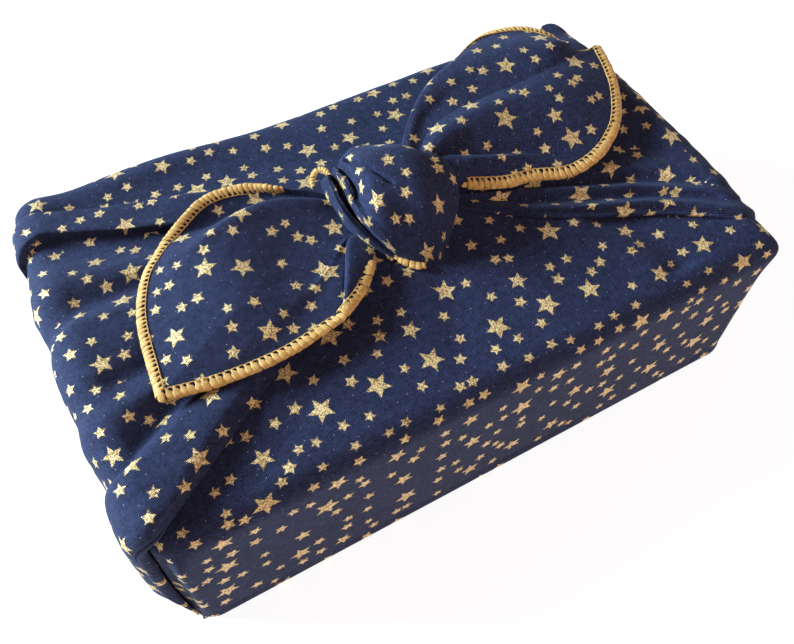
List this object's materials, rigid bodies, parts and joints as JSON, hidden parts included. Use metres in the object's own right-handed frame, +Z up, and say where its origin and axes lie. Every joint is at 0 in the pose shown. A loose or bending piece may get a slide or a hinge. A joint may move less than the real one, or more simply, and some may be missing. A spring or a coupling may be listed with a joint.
{
  "type": "furoshiki wrap tied round a gift box",
  "caption": "Printed cotton cloth folded and knotted round a shallow box: flat at front and back, gathered over the ends, with its free corners spread out from the knot.",
  "frame": {"origin": "middle of the bottom, on the surface that the wrap stands on", "axes": "+X along the long sides, towards the ear that stands higher; +Y from the front to the back; +Z up"},
  "size_m": [0.321, 0.1976, 0.129],
  "materials": {
    "navy_cotton": "matte plain weave with a printed pattern of small stars",
    "mustard_thread": "soft sheen of close stitches",
    "plain_card": "plain uncoated board"
  },
  "bodies": {
    "root": {"wrap_cloth": "navy_cotton", "left_ear_edging": "mustard_thread", "right_ear_edging": "mustard_thread", "inner_box": "plain_card"}
  },
  "joints": []
}
